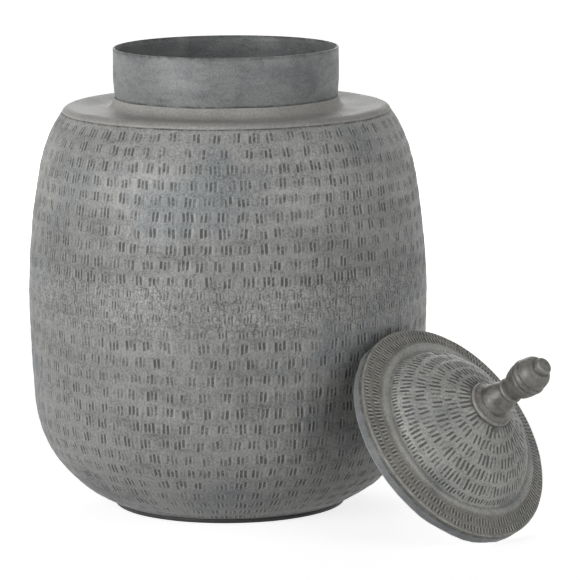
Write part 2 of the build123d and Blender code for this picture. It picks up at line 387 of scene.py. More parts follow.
tree_name = "Turned sheet"
merge_distance = 1e-6
columns_per_mark = 4
bottom_spread = 1.65        # how much wider a mark's flat bottom is than a third of the mark
narrowest = 0.84            # the narrowest mark's share of the full width
softest = 0.45              # the softest blow's share of the full force
least_short = 0.1           # how much shorter every mark is, as a share of the unevenness
faint_loss = 0.68           # share of its force that a faint mark lacks
swell_gain = 3              # brings the noise to about -1 to 1
worn_size = 0.05            # width of the patches in which the marks are more or less worn
worn_middle = 0.78          # what is left of a mark's force there on the whole
worn_swing = 0.5            # how much more or less than that may be left
worn_least = 0.3
wave_size = 0.045           # width of the patches in which the marks slide together
wave_share = 0.4            # how much of its room a mark slides with them
slide_share = 0.55          # how much of its room it slides on its own
slip_share = 0.8            # how far it slides towards one end of a longer mark's place
# what is drawn at random, with its place in this list in its seed
draws = ("start", "stray", "lean", "faint", "force", "length", "slide", "end", "width", "slip")
numbers_per_row = 1009      # more than any row has groups
numbers_per_group = 7       # more than any group has marks


def turned_sheet_tree():
    """Turns a section about +Z and strikes rings of chisel marks into it.

    Each point of the section is a ring. Round a ring the columns lie in groups, and the first columns of a
    group are drawn together on its marks, four to each: lip, bottom, bottom, lip.
    """
    board, given = node_group("GeometryNodeTree", tree_name, {
        "Geometry": ("Section",), "Int": ("Closed", "Columns", "Seed"), "Material": ("Finish",),
        "Float": ("Depth", "Lip", "Slant", "Uneven", "Dent", "Dent size", "Settle"),
    }, {"Geometry": ("Sheet",)})
    calc, get = board.calc, board.get
    section, columns = given["Section"], given["Columns"]

    rings = get("GeometryNodeAttributeDomainSize", section, component="MESH")
    ring_stops = rings + given["Closed"]
    grid = get("GeometryNodeMeshGrid", 1, 1, columns + 1, ring_stops)
    index = get("GeometryNodeInputIndex")
    column = (index + 0.5) // ring_stops
    ring = (index - column * ring_stops) % rings

    def of_ring(name, kind="FLOAT"):
        """What the section says of this ring."""
        value = get("GeometryNodeInputNamedAttribute", name, data_type=kind)
        return get("GeometryNodeSampleIndex", section, value, ring, data_type=kind, domain="POINT")

    def chance(low, high, identity, draw):
        """A random number for each identity, which differs from draw to draw."""
        seed = given["Seed"] + draws.index(draw)
        return get("FunctionNodeRandomValue", low, high, identity, seed, data_type="FLOAT")

    def stray(most, identity, draw):
        return chance(-most, most, identity, draw)

    spot = of_ring("spot", "FLOAT_VECTOR")
    radius = get("ShaderNodeSeparateXYZ", spot, output="X")
    row, groups, marks, along, gap, width = map(of_ring, ("row", "groups", "marks", "along", "gap", "width"))

    # Where this column lies in its group, and its group in the row
    column_angle = math.tau / columns
    group_columns = columns / groups
    shift = calc("FLOOR", chance(0, group_columns, row, "start"))
    place = column + shift
    group = (place + 0.5) // group_columns
    slot = place - group * group_columns
    mark = (slot + 0.5) // columns_per_mark
    step = slot - mark * columns_per_mark
    struck = mark + 0.5 < marks
    last_slot = marks * columns_per_mark - 1

    def group_name(which):
        """A number for each group of each row, the same at both ends of the turn."""
        return row * numbers_per_row + which % groups

    def centre(which):
        """Angle of a group's middle."""
        even = (which * group_columns + last_slot / 2 - shift) * column_angle
        return even + stray(1, group_name(which), "stray") * of_ring("stray") / radius

    group_centre = centre(group)
    identity = group_name(group)
    mark_identity = identity * numbers_per_group + mark
    last_step = columns_per_mark - 1
    bottom = calc("ABSOLUTE", step - last_step / 2) < 1
    reach = (step / last_step - 0.5) * board.blend(bottom, 1, bottom_spread)
    across = (mark - (marks - 1) / 2) * gap + reach * (width * chance(narrowest, 1, mark_identity, "width"))
    across = across + along * stray(calc("TANGENT", given["Slant"]), identity, "lean")
    struck_angle = group_centre + across / radius

    # Between two groups the columns are spread evenly
    half = ((marks - 1) / 2 * gap + width / 2) / radius
    spread = (slot - last_slot) / (group_columns - last_slot)
    spread_angle = board.blend(spread, group_centre + half, centre(group + 1) - half)
    group_angle = board.blend(struck, spread_angle, struck_angle)
    turn = board.blend(calc("MINIMUM", marks, 1), column * column_angle, group_angle)

    def turned(vector):
        return get("ShaderNodeVectorRotate", vector, None, turn, rotation_type="Z_AXIS")

    bare = turned(spot)

    def swell(size, detail):
        """Smooth noise from about -1 to 1 over the sheet."""
        return (board.noise(bare, calc("DIVIDE", 1, size), detail, roughness=0.5) - 0.5) * swell_gain

    # The blow: how hard, how long, and whether a group's first or last mark is faint
    end_mark = calc("ROUND", chance(0, 1, identity, "end")) * (marks - 1)
    faint = calc("COMPARE", mark, end_mark, 0.1) * (chance(0, 1, mark_identity, "faint") < of_ring("sparse"))
    worn = board.clamp(worn_middle + swell(worn_size, 1) * worn_swing, worn_least)
    force = (1 - faint * faint_loss) * worn * of_ring("strength") * chance(softest, 1, mark_identity, "force")
    force = force * struck * of_ring("bite")
    sink = board.blend(bottom, given["Lip"], -given["Depth"])
    dent = (swell(given["Dent size"], 2) * given["Dent"] - given["Settle"]) * of_ring("free")
    slide = (swell(wave_size, 0) * wave_share + stray(slide_share, mark_identity, "slide")) * of_ring("room")
    short = given["Uneven"] * chance(least_short, 1, mark_identity, "length")
    slip = short * of_ring("half") * stray(slip_share, mark_identity, "slip")
    slide = (slide - along * short + slip) * struck
    for name, amount in (("forward", slide), ("outward", force * sink), ("push", dent)):
        spot = board.vector("ADD", spot, board.vector("SCALE", of_ring(name, "FLOAT_VECTOR"), amount))

    sheet = get("GeometryNodeSetPosition", grid, True, turned(spot))
    signed = force * board.blend(bottom, -1, 1)
    for name, value in (("struck", signed), ("tone", of_ring("tone")), ("radius", radius)):
        sheet = get("GeometryNodeStoreNamedAttribute", sheet, True, name, value, data_type="FLOAT",
                    domain="POINT")
    sheet = get("GeometryNodeMergeByDistance", sheet, True, merge_distance)
    sheet = get("GeometryNodeSetShadeSmooth", sheet, True, True)
    sheet = get("GeometryNodeRealizeInstances", sheet)
    sheet = get("GeometryNodeSetMaterial", sheet, True, given["Finish"])
    board.add("NodeGroupOutput", sheet)
    return board.tree


# Outlines of the turned CAD nodes, as (radius, height) points in the frame of their axis

seam_tolerance = 4e-6
seam_angle = math.radians(0.2)
corner_turn = math.radians(21)
jar_place = Matrix.Identity(4)


def lid_place():
    """Frame of the leaning lid: z along its axis, x level, origin at the upper edge of the band."""
    axis = Vector(frame["joints"][0]["axis"]).normalized()
    level = Vector((-axis.y, axis.x, 0)).normalized()
    upslope = axis.cross(level)
    turn = Matrix((level, upslope, axis))
    vertices = frame["nodes"]["lid_rim_band"].data.vertices
    points = np.unique(np.round([turn @ vertex.co for vertex in vertices], 6), axis=0)
    origin = Vector((*points.mean(0)[:2], points[:, 2].max()))
    return Matrix.Translation(turn.transposed() @ origin) @ turn.transposed().to_4x4()


def seam_links(node, place):
    """Which points of the node's section are joined by an edge. A turned mesh has its section at y = 0."""
    mesh = frame["nodes"][node].data
    inverse = place.inverted()
    seam = {}
    for vertex in mesh.vertices:
        point = inverse @ vertex.co
        if point.x > -seam_tolerance and abs(point.y) < seam_tolerance + seam_angle * abs(point.x):
            radius = point.x if point.x > seam_tolerance else 0
            seam[vertex.index] = (round(radius, 6), round(point.z, 6))
    links = {}
    for edge in mesh.edges:
        ends = [seam.get(index) for index in edge.vertices]
        if None not in ends and ends[0] != ends[1]:
            links.setdefault(ends[0], set()).add(ends[1])
            links.setdefault(ends[1], set()).add(ends[0])
    return links


def is_corner(here, links):
    """Whether the section ends or turns sharply at a point."""
    if len(links[here]) != 2:
        return True
    before, after = sorted(links[here])
    return (Vector(here) - Vector(before)).angle(Vector(after) - Vector(here)) > corner_turn


def seam_chains(node, place):
    """The node's section cut at its corners into smooth chains of points."""
    links = seam_links(node, place)
    loose = {frozenset((here, there)) for here in links for there in links[here]}
    corners = [point for point in links if is_corner(point, links)]
    chains = []
    for start in corners:
        for follower in sorted(links[start]):
            if frozenset((start, follower)) not in loose:
                continue
            chain = [start, follower]
            while chain[-1] not in corners:
                chain.append(next(point for point in links[chain[-1]] if point != chain[-2]))
            loose -= {frozenset(pair) for pair in zip(chain, chain[1:])}
            chains.append(chain)
    return chains


def corners_of(nodes, place):
    """The corners of the nodes' sections."""
    return [chain[i] for node in nodes for chain in seam_chains(node, place) for i in (0, -1)]


class Outline:
    """A smooth curve through the points of a chain, read by the distance from its start."""

    def __init__(self, chain):
        self.points = np.array(chain)
        steps = np.hypot(*np.diff(self.points, axis=0).T)
        self.distances = np.concatenate(([0], np.cumsum(steps)))
        self.length = self.distances[-1]
        self.courses = self.unit(np.gradient(self.points, axis=0))
        for end, beside in ((0, 1), (-1, -2)):
            chord = self.courses[end]
            across = self.courses[beside]
            self.courses[end] = 2 * across.dot(chord) * chord - across

    @staticmethod
    def unit(vectors):
        return vectors / np.hypot(*vectors.T)[..., None]

    def sweep(self, heart):
        """Area it sweeps about a point on the axis: the more it faces away from there, the larger."""
        x, z = (self.points - (0, heart)).T
        return np.sum(x[:-1] * z[1:] - x[1:] * z[:-1])

    def read(self, distance):
        """Point and direction at a distance."""
        i = int(np.clip(np.searchsorted(self.distances, distance) - 1, 0, len(self.points) - 2))
        span = self.distances[i + 1] - self.distances[i]
        t = (distance - self.distances[i]) / span
        start, end = self.points[i], self.points[i + 1]
        leaving, arriving = self.courses[i] * span, self.courses[i + 1] * span
        point = (2 * t**3 - 3 * t**2 + 1) * start + (t**3 - 2 * t**2 + t) * leaving
        point += (3 * t**2 - 2 * t**3) * end + (t**3 - t**2) * arriving
        course = (6 * t**2 - 6 * t) * (start - end) + (3 * t**2 - 4 * t + 1) * leaving
        course += (3 * t**2 - 2 * t) * arriving
        return point, course / np.hypot(*course)


def outlines_of(node, place):
    """Smooth stretches of the node's section, counter-clockwise round its metal, and if it is closed."""
    chains = seam_chains(node, place)
    ends = [chain[i] for chain in chains for i in (0, -1)]
    here = next((end for end in ends if ends.count(end) == 1), ends[0])
    ordered = []
    while chains:
        chain = next(chain for chain in chains if here in (chain[0], chain[-1]))
        chains.remove(chain)
        ordered.append(chain if chain[0] == here else chain[::-1])
        here = ordered[-1][-1]
    first = ordered[0][0]
    closed = here == first
    if not closed:
        if first[0] > 0:
            ordered.insert(0, [(0, first[1]), first])
        if here[0] > 0:
            ordered.append([here, (0, here[1])])
    radii, heights = np.array([point for chain in ordered for point in chain]).T
    area = np.dot(radii, np.roll(heights, -1)) - np.dot(heights, np.roll(radii, -1))
    if area < 0:
        ordered = [chain[::-1] for chain in reversed(ordered)]
    return [Outline(chain) for chain in ordered], closed


def outer_face(node, place, heart):
    """The stretch of the node's section that faces away from its heart."""
    return max(outlines_of(node, place)[0], key=lambda outline: outline.sweep(heart))


# Rings of a section

@dataclass
class Row:
    """One ring of chisel marks on an outline."""

    middle: float       # distance of the marks' middles along the outline
    length: float       # of a mark
    width: float        # of a mark
    pitch: float        # from group to group, round the turn
    room: float         # how far a mark may slide along the outline
    marks: int = 1      # in a group
    gap: float = 0      # from mark to mark in a group
    strength: float = 1
    sparse: float = 0   # chance that a group's first or last mark is faint


tip_share = 0.14            # how much of a mark's length its sloping tip takes
stray_share = 0.26          # how much of the sheet between two groups one of them may take up
turn_window = 0.0011        # the stretch over which a section's bend counts as an edge or a hollow
# Rubbed metal and painted highlight start at this share of an edge's full bend
rub_and_highlight_start = 0.3             # how far an edge has to bend to be rubbed at all, as a share of the full bend
# Below this level the dirt and painted shade give way to rubbed metal and painted highlight
least_darkening = 0.15           # thinner dirt than this gives way to rubbed metal
smallest_gap = 0.0003
bare_columns = 8


class Section:
    """The rings of a turned sheet, in order round its section."""

    fields = ("row", "groups", "marks", "gap", "width", "half", "stray", "room", "bite", "along", "strength",
              "sparse")

    def __init__(self, columns):
        self.columns = columns
        self.spots = []
        self.courses = []
        self.marks = []

    def ring(self, outline, distance, **mark):
        spot, course = outline.read(distance)
        self.spots.append(spot)
        self.courses.append(course)
        bare = {**dict.fromkeys(self.fields, 0), "row": -1, "groups": self.columns // bare_columns}
        self.marks.append({**bare, **mark})

    def fill(self, outline, start, end, step, thin=1, edge=0):
        """Bare rings at an outline's own points, or every few of them, and never further apart than a step.

        With edge, a ring stands that far inside each end too, which keeps the wear and painted light of the
        edge narrow.
        """
        inside = list(outline.distances[1:-1:thin])
        if edge and end - start > 3 * edge:
            inside += [start + edge, end - edge]
        stops = [start]
        for distance in sorted(inside):
            if stops[-1] + smallest_gap < distance < end - smallest_gap:
                stops.append(distance)
        stops.append(end)
        for here, there in zip(stops, stops[1:]):
            for distance in np.linspace(here, there, math.ceil((there - here) / step), endpoint=False):
                self.ring(outline, distance)
        self.ring(outline, end)

    def strike(self, outline, rows, first_row, bevel, step, thin):
        """Rows of marks along an outline, with bare rings where there is room between them."""
        self.ring(outline, 0)
        reached = bevel
        for number, row in enumerate(rows, first_row):
            start = row.middle - row.length / 2 - row.room
            if start > reached + smallest_gap:
                self.fill(outline, reached, start, step, thin)
            self.row(outline, row, number)
            reached = row.middle + row.length / 2 + row.room
        if outline.length - bevel > reached + smallest_gap:
            self.fill(outline, reached, outline.length - bevel, step, thin)
        self.ring(outline, outline.length)

    def row(self, outline, row, number):
        """The five rings of one row of marks."""
        turn = math.tau * outline.read(row.middle)[0][0]
        fewest = row.marks * columns_per_mark + 1
        fits = [self.columns // n for n in range(fewest, self.columns) if self.columns % n == 0]
        groups = min(fits, key=lambda n: abs(turn / n - row.pitch))
        spare = turn / groups - (row.marks - 1) * row.gap - row.width
        half = row.length / 2
        bottom = half - row.length * tip_share
        same = {key: getattr(row, key) for key in ("marks", "gap", "width", "room", "strength", "sparse")}
        for along, bite in ((-half, 0), (-bottom, 1), (0, 1), (bottom, 1), (half, 0)):
            self.ring(outline, row.middle + along, row=number, groups=groups, half=half, along=along,
                      bite=bite, stray=max(spare, 0) * stray_share, **same)

    def wear(self, joints, flush_joints, reach, piece, closed):
        """For each ring its tone, above 0 for dirt and painted shade and below for rubbed metal and painted
        highlight, and how free it is to dent.
        """
        spots = np.array(self.spots + self.spots[:1] if closed else self.spots)
        around = np.concatenate(([0], np.cumsum(np.hypot(*np.diff(spots, axis=0).T))))
        places = around[:len(self.spots)]

        def at(distances):
            if closed:
                distances = distances % around[-1]
            return np.array([np.interp(distances, around, axis) for axis in spots.T])

        before = at(places) - at(places - turn_window)
        after = at(places + turn_window) - at(places)
        cross = before[0] * after[1] - before[1] * after[0]
        turn = np.arctan2(cross, (before * after).sum(0))
        # Dirt and painted shade in hollows and near joints; rubbed metal and painted highlight on bent edges
        hollow = np.clip(-turn / piece.hollow_turn, 0, 1)
        rubbed = np.clip(turn / piece.worn_turn - rub_and_highlight_start, 0, 1)
        away, flush_away = (self.away_from(corners) for corners in (joints, flush_joints))
        darkening = np.maximum(hollow, np.exp(-(away / reach) ** 2))
        tone = np.where(darkening > least_darkening, darkening, -rubbed)
        return np.where(flush_away < 2 * reach, 0, tone), np.clip(away / piece.still_reach, 0, 1)

    def away_from(self, corners):
        """How far each ring is from the nearest of the corners."""
        away = np.full(len(self.spots), math.inf)
        for corner in corners:
            away = np.minimum(away, [math.dist(spot, corner) for spot in self.spots])
        return away

    def mesh(self, name, heart, wear):
        """One vertex for each ring, with what the node tree reads of it. Dents push away from the heart."""
        mesh = bpy.data.meshes.new(name)
        spots = [(x, 0, z) for x, z in self.spots]
        mesh.from_pydata(spots, [], [])
        vectors = {
            "spot": spots,
            "forward": [(x, 0, z) for x, z in self.courses],
            "outward": [(z, 0, -x) for x, z in self.courses],
            "push": [(Vector(spot) - Vector((0, 0, heart))).normalized() for spot in spots],
        }
        for key, rows in vectors.items():
            attribute = mesh.attributes.new(key, "FLOAT_VECTOR", "POINT")
            attribute.data.foreach_set("vector", np.array(rows).ravel())
        numbers = {key: [float(mark[key]) for mark in self.marks] for key in self.fields}
        numbers["tone"], numbers["free"] = wear
        for key, values in numbers.items():
            mesh.attributes.new(key, "FLOAT", "POINT").data.foreach_set("value", values)
        return mesh


def shown(name, data):
    """A new object in the scene."""
    thing = bpy.data.objects.new(name, data)
    bpy.context.scene.collection.objects.link(thing)
    return thing


@dataclass
class Piece:
    """A turned node that the scene makes anew."""

    node: str
    name: str
    body: str
    slot: str
    finish: bpy.types.Material
    place: Matrix
    columns: int
    settings: bpy.types.PropertyGroup   # with values for the node tree's inputs of the same names
    heart: float                    # height of the point on the axis that dents push away from
    # Dirt and painted shade gather where it meets these nodes
    neighbours: tuple = ()          # nodes that it meets, where dirt gathers
    flush: tuple = ()               # nodes that it carries on from without a seam in view
    still_reach: float = 0.006      # how far from a neighbour its dents fade out
    step: float = 0.004             # longest gap between bare rings
    thin: int = 1                   # every how many points of the CAD outline get a ring
    # A hollow bent this far is fully darkened with dirt and painted shade
    hollow_turn: float = 1.8        # the bend, in radians, of a hollow that is full of dirt
    # An edge bent this far is fully rubbed bare and painted with a highlight
    worn_turn: float = 1.3          # the bend, in radians, of an edge that is rubbed bare
    # Whether its upper edge gets the dirt and painted shade of a joint
    tarnished_rim: bool = False     # whether its upper edge is as dark as a joint
    kind: str = ""                  # what the names of its own settings start with

    def make(self, rows=None, first_row=0):
        """Turns the node's section, with rows of marks on its longest stretch, and shows it on its body."""
        plain = bpy.context.scene.jar.plain
        outlines, closed = outlines_of(self.node, self.place)
        outer = max(outlines, key=lambda outline: outline.sweep(self.heart))
        section = Section(self.columns)
        for outline in outlines:
            bevel = min(plain.edge_bevel, outline.length / 4)
            if rows and outline is outer:
                section.strike(outline, rows, first_row, bevel, self.step, self.thin)
                continue
            start = bevel if outline.points[0][0] > 0 else 0
            end = outline.length - bevel if outline.points[-1][0] > 0 else outline.length
            section.fill(outline, start, end, self.step, self.thin, turn_window)
        joints = corners_of(self.neighbours, self.place)
        if self.tarnished_rim:
            points = np.vstack([outline.points for outline in outlines])
            joints += [tuple(point) for point in points if points[:, 1].max() - point[1] < seam_tolerance]
        wear = section.wear(joints, corners_of(self.flush, self.place), plain.soil_reach, self, closed)
        blank = shown(self.name + "_blank", section.mesh(self.name + "_section", self.heart, wear))
        mesh = self.turned(blank, closed)
        bpy.data.objects.remove(blank)
        piece = shown(self.name, mesh)
        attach(piece, self.body)
        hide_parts(self.node)

    def turned(self, blank, closed):
        """The blank's section turned by the node tree, as a plain mesh in its place."""
        tree = bpy.data.node_groups.get(tree_name) or turned_sheet_tree()
        modifier = blank.modifiers.new(tree_name, "NODES")
        modifier.node_group = tree
        given = {"closed": int(closed), "columns": self.columns, "finish": self.finish}
        for item in tree.interface.items_tree:
            key = item.name.lower().replace(" ", "_")
            setting = getattr(self.settings, self.kind + key, getattr(self.settings, key, None))
            value = given.get(key, setting)
            if value is not None:
                modifier[item.identifier] = value
        evaluated = blank.evaluated_get(bpy.context.evaluated_depsgraph_get())
        mesh = bpy.data.meshes.new_from_object(evaluated)
        mesh.name = self.name
        if mesh.materials[0] is None:
            mesh.materials.pop(index=0)
        mesh.transform(self.place)
        return mesh


# Finishes

blot_size = 0.3             # width of the small blots, as a share of the patches'
blot_share = 0.4            # how much of the cloudiness is theirs
cloud_level = 0.45          # the noise's level at which a patch starts to darken
cloud_gain = 8              # how sharply it darkens, at full contrast
chill_size = 1.3            # width of the bluish patches, as a share of the patches'
chill_level = 0.54
chill_share = 0.7           # how blue they get
grain_size = 0.0013
brushed_stretch = (1, 1, 0.25)
speckle_gain = 7
least_speckle = 0.25        # how much of the grain shows where it shows least
vein_size = 0.022
vein_width = 0.012          # of the noise's range
vein_gain = 90
cloudy_dullness = 0.14      # how much rougher the dark patches are
band_brushing = 0.4         # how far the finely marked band's grain is drawn upright
band_speckle = 0.9          # how coarse it looks
band_fade = (1.2, 0.7)      # where that grain starts and is full, as shares of the band's half height
bump_height = 0.0002


def patina():
    """Shader group: cloudy patches drawn out round the jar, grain and brushing, as colour and roughness."""
    board, given = node_group("ShaderNodeTree", "Patina", {
        "Color": ("Light", "Dark", "Blue"),
        "Float": ("Patch size", "Streak", "Contrast", "Speckle", "Brushing", "Veins", "Dullness", "Shift"),
    }, {"Color": ("Colour",), "Float": ("Roughness", "Grain")},
        **{"Patch size": 0.055}, Streak=2.2, Contrast=0.5, Speckle=0.14, Dullness=0.52)
    spot = board.object_spot()
    drawn = board.vector("MULTIPLY", spot, board.get("ShaderNodeCombineXYZ", 1, 1, given["Streak"]))
    patch = given["Patch size"]

    def clouds(at, size, detail, offset):
        shift = given["Shift"] + offset
        moved = board.vector("ADD", at, board.get("ShaderNodeCombineXYZ", shift, shift, shift))
        return board.noise(moved, board.calc("DIVIDE", 1, size), detail)

    patches = clouds(drawn, patch, detail=4, offset=1.7)
    blots = clouds(drawn, patch * blot_size, detail=5, offset=4.1)
    cloudy = patches * (1 - blot_share) + blots * blot_share
    cloudy = board.ramp(cloudy, cloud_level, given["Contrast"] * cloud_gain)
    chill = board.ramp(clouds(spot, patch * chill_size, detail=3, offset=8.3), chill_level, cloud_gain)
    colour = board.tint(cloudy, given["Light"], given["Dark"])
    colour = board.tint(chill * chill_share, colour, given["Blue"])
    brushed = clouds(board.vector("MULTIPLY", spot, brushed_stretch), grain_size, detail=1, offset=5.3)
    grain = board.blend(given["Brushing"], clouds(spot, grain_size, detail=1, offset=2.9), brushed)
    speckle = given["Speckle"] * speckle_gain * board.ramp(blots, start=0, gain=1.1, low=least_speckle)
    veins = board.calc("ABSOLUTE", clouds(drawn, vein_size, detail=4, offset=6.1) - 0.5)
    veins = board.ramp(vein_width - veins, 0, vein_gain) * given["Veins"]
    veins = veins * board.ramp(patches, start=0.46, gain=6)
    colour = board.vector("SCALE", colour, (1 + (grain - 0.5) * speckle) * (1 - veins))
    board.add("NodeGroupOutput", colour, given["Dullness"] + cloudy * cloudy_dullness, grain)
    return board.tree


def wear():
    """Shader group: dirt and painted shade at joints and in hollows, rubbed edges with painted highlights,
    dark chisel marks and their bright lips.
    """
    colours = ("Colour", "Dirt", "Rubbed", "Groove", "Lip")
    board, given = node_group("ShaderNodeTree", "Wear", {"Color": colours}, {"Color": ("Colour",)})
    tone, struck = map(board.attribute, ("tone", "struck"))
    spot = board.object_spot()
    patchy = board.ramp(board.noise(spot, scale=160, detail=3), start=0.3, gain=3, low=0.2)
    ragged = board.ramp(board.noise(spot, scale=420, detail=2), start=0.25, gain=2.8, low=0.4)
    colour = given["Colour"]
    # Dirt and painted shade where the tone is above 0, rubbed metal and painted highlight where it is below
    for name, amount in (("Dirt", board.ramp(tone, start=0.3, gain=1.7, high=0.9) * patchy),
                         ("Rubbed", board.ramp(tone, start=0, gain=-1, high=0.8) * patchy),
                         ("Lip", board.ramp(struck, start=0, gain=-1.3, high=0.7)),
                         ("Groove", board.ramp(struck * ragged, start=0, gain=1.7, high=0.8))):
        colour = board.tint(amount, colour, given[name])
    board.add("NodeGroupOutput", colour)
    return board.tree


def placed(board, name, maker, **values):
    """A shader group placed in a material with its own values: its outputs by their names."""
    group = board.add("ShaderNodeGroup", node_tree=bpy.data.node_groups.get(name) or maker())
    return board.fill_named(group, **values)


def metal(name, tone, blue=None, rubbed="rubbed", lip="lip", metallic=0.12, bump=0.3, outer=None, band=None,
          painted_shades=(), **look):
    """A weathered metal. Its tone, blue, rubbed and lip name finishes, and its look is the patina's values.

    With outer, a finish that the colour is multiplied by and the two radii between which it sets in. With
    band, the level and the half height of a band with a coarse upright grain. Each of the painted shades is
    two heights and what the colour is multiplied by at and beyond each of them, as painted shade or light.
    """
    finishes = bpy.context.scene.jar.finishes
    material, board = with_nodes(bpy.data.materials.new(name))
    height = board.get("ShaderNodeSeparateXYZ", board.object_spot(), output="Z")
    if band:
        level, half = band
        inside = board.span(board.calc("ABSOLUTE", height - level), *(half * fade for fade in band_fade))
        look["speckle"] = board.blend(inside, look["speckle"], band_speckle)
        look["brushing"] = board.blend(inside, look["brushing"], band_brushing)
    dark = tone + "_dark"
    keys = (tone, dark, blue or dark, rubbed, lip)
    light, dark, blue, rubbed, lip = (getattr(finishes, key) for key in keys)
    look = {key.capitalize(): value for key, value in look.items()}
    weathered = placed(board, "Patina", patina, Light=light, Dark=dark, Blue=blue, **look)
    colour = weathered["Colour"]
    if outer:
        tint, start, end = outer
        tinted = board.tint(1, colour, getattr(finishes, tint), "MULTIPLY")
        colour = board.tint(board.span(board.attribute("radius"), start, end), colour, tinted)
    # Painted shade and painted light: the colour is multiplied by height
    for shade in painted_shades:
        colour = board.vector("SCALE", colour, board.span(height, *shade))
    # Dirt and painted shade in hollows and at joints, rubbed metal and painted highlights on bent edges
    worn = placed(board, "Wear", wear, Colour=colour, Dirt=finishes.dirt, Rubbed=rubbed,
                  Groove=finishes.groove, Lip=lip)
    relief = board.fill_named(board.add("ShaderNodeBump"), Strength=bump, Distance=bump_height,
                              Height=weathered["Grain"])
    board.fill_named(material.node_tree.nodes["Principled BSDF"], Base_Color=worn["Colour"],
                     Roughness=weathered["Roughness"], Normal=relief["Normal"], Metallic=metallic)
    return material


def dress(nodes, material):
    """Gives CAD nodes that stay in view their material."""
    for node in nodes:
        materials = frame["nodes"][node].data.materials
        materials.clear()
        materials.append(material)


# Operators

class JAR_OT_belly(bpy.types.Operator):
    """Make the two hammered halves of the belly"""

    bl_idname = "jar.belly"
    bl_label = "Hammered belly"

    columns = 952       # 68 or 56 groups of columns round the belly
    # Painted shade and painted light: the belly's colour is darker towards the foot and lighter towards the
    # top
    foot_shade = (0.004, 0.055, 0.72, 1)    # darker from the second height down to the first
    top_light = (0.2, 0.255, 1, 1.25)       # lighter from the first height up to the second

    def rows(self, outline, marks):
        """Rows from the sheet's upper end down, closer together in the finely marked band."""
        room = outline.length - 2 * marks.edge_margin
        edge = outline.length - marks.edge_margin
        pitches = []
        while True:
            level = outline.read(edge - sum(pitches))[0][1]
            fine = abs(level - marks.band_level) < marks.band_half
            pitch = marks.band_row_pitch if fine else marks.row_pitch
            if sum(pitches) + pitch / 2 > room:
                break
            pitches.append(pitch)
        squeeze = room / sum(pitches)
        rows = []
        for pitch in pitches:
            if pitch == marks.band_row_pitch:
                row = Row(0, marks.band_mark, marks.band_width, marks.band_pitch, 0, marks.group_marks,
                          marks.band_gap, marks.band_strength, marks.band_sparse)
            else:
                row = Row(0, marks.mark_length, marks.mark_width, marks.group_pitch, 0, marks.group_marks,
                          marks.mark_gap, sparse=marks.sparse)
            row.middle = edge - pitch * squeeze / 2
            row.room = (pitch * squeeze - row.length) / 2
            edge -= pitch * squeeze
            rows.insert(0, row)
        return rows

    def execute(self, context):
        jar = context.scene.jar
        zinc = metal("Hammered zinc", "zinc", "zinc_blue", patch_size=0.065, streak=3.4, speckle=0.5,
                     brushing=0.35, veins=0.6, shift=21, band=(jar.belly.band_level, jar.belly.band_half),
                     painted_shades=(self.foot_shade, self.top_light))
        heart = jar.plain.belly_heart
        first_row = 0
        for node, meets, flush in (("belly_lower_shell", "foot_ring", "belly_upper_shell"),
                                   ("belly_upper_shell", "shoulder_plate", "belly_lower_shell")):
            rows = self.rows(outer_face(node, jar_place, heart), jar.belly)
            # The belly gets dirt and painted shade where it meets the foot and the shoulder
            Piece(node, "hammered_" + node, "vessel", "hammered_sheet", zinc, jar_place, self.columns,
                  jar.belly, heart, (meets,), (flush,), thin=2, step=0.02).make(rows, first_row)
            first_row += len(rows)
        return {"FINISHED"}


class JAR_OT_neck(bpy.types.Operator):
    """Make the smooth shoulder plate and the bare neck"""

    bl_idname = "jar.neck"
    bl_label = "Shoulder and neck"

    columns = 400

    def execute(self, context):
        plain = context.scene.jar.plain
        smooth = metal("Smooth zinc", "shoulder", patch_size=0.04, streak=1, contrast=0.4, speckle=0.2,
                       dullness=0.6, metallic=0.05, bump=0.2)
        # The shoulder gets dirt and painted shade where it meets the neck
        Piece("shoulder_plate", "shoulder_sheet", "vessel", "smooth_sheet", smooth, jar_place, self.columns,
              plain, plain.shoulder_heart, ("neck_collar",), ("belly_upper_shell",)).make()
        # The neck's bent edges take the dirt and painted shade in place of rubbed metal and painted highlight
        bare = metal("Bare zinc", "neck", patch_size=0.026, streak=2.5, contrast=0.45, speckle=0.2,
                     veins=0.35, dullness=0.5, shift=45, metallic=0.15, bump=0.2, rubbed="dirt")
        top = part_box("neck_collar")[1][2]
        # The neck gets dirt and painted shade where it meets the shoulder and along its upper edge
        Piece("neck_collar", "neck_sheet", "vessel", "neck_sheet", bare, jar_place, self.columns, plain, top,
              ("shoulder_plate",), tarnished_rim=True).make()
        return {"FINISHED"}


class JAR_OT_foot(bpy.types.Operator):
    """Make the blackened foot ring and dress the bottom disc"""

    bl_idname = "jar.foot"
    bl_label = "Foot"

    columns = 320

    def execute(self, context):
        black = metal("Blackened metal", "foot", streak=1, patch_size=0.02, speckle=0.1, metallic=0,
                      rubbed="foot")
        # The foot gets dirt and painted shade where it meets the bottom disc
        Piece("foot_ring", "blackened_foot", "vessel", "foot_metal", black, jar_place, self.columns,
              context.scene.jar.plain, 0, ("base_plate",)).make()
        dress(("base_plate",), black)
        return {"FINISHED"}


